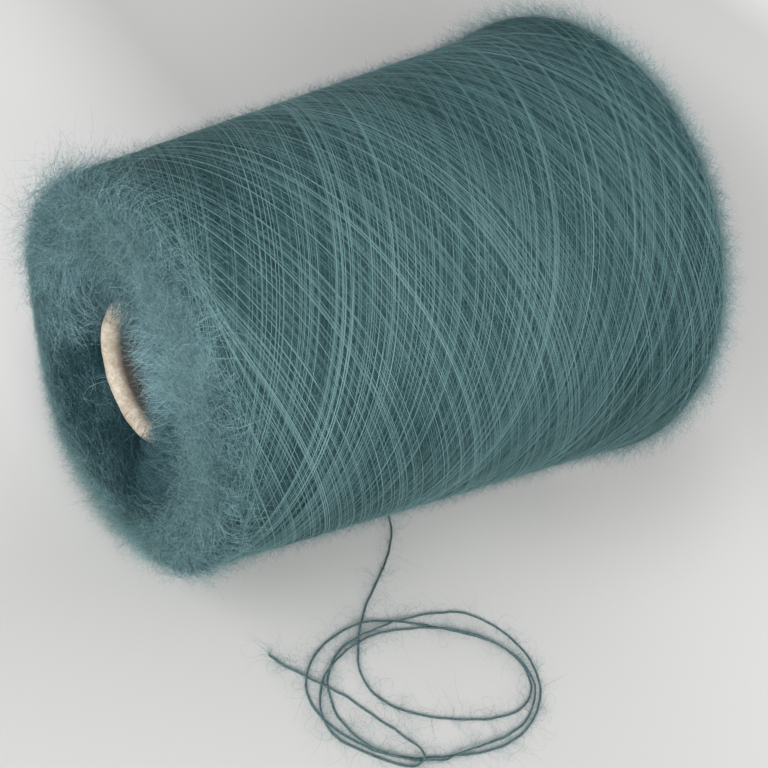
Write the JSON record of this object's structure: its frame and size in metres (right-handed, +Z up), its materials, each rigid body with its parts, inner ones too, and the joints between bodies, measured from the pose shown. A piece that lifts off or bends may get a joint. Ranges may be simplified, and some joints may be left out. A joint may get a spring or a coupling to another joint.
{
  "type": "yarn cone",
  "caption": "Cross-wound cone of fuzzy yarn on a hollow paper cone tube, lying on its side with a loose tail of yarn in floor loops.",
  "frame": {"origin": "centre of the floor rectangle under the winding and the tube, on the floor that the cone lies on", "axes": "+X along the floor from the nose end to the base end, +Z up; the cone's own axis lies in the XZ plane and rises towards the base end by the winding's taper"},
  "size_m": [0.1808, 0.1827, 0.1341],
  "materials": {
    "paper_cone": "matt rolled paper, beige, with a smooth burnished nose",
    "yarn_package": "cross-wound teal mohair-type yarn with a soft halo of fine hairs",
    "yarn_tail": "single fine teal yarn with sparse long hairs"
  },
  "bodies": {
    "root": {"paper_cone": "paper_cone", "yarn_package": "yarn_package", "yarn_tail": "yarn_tail"}
  },
  "joints": []
}
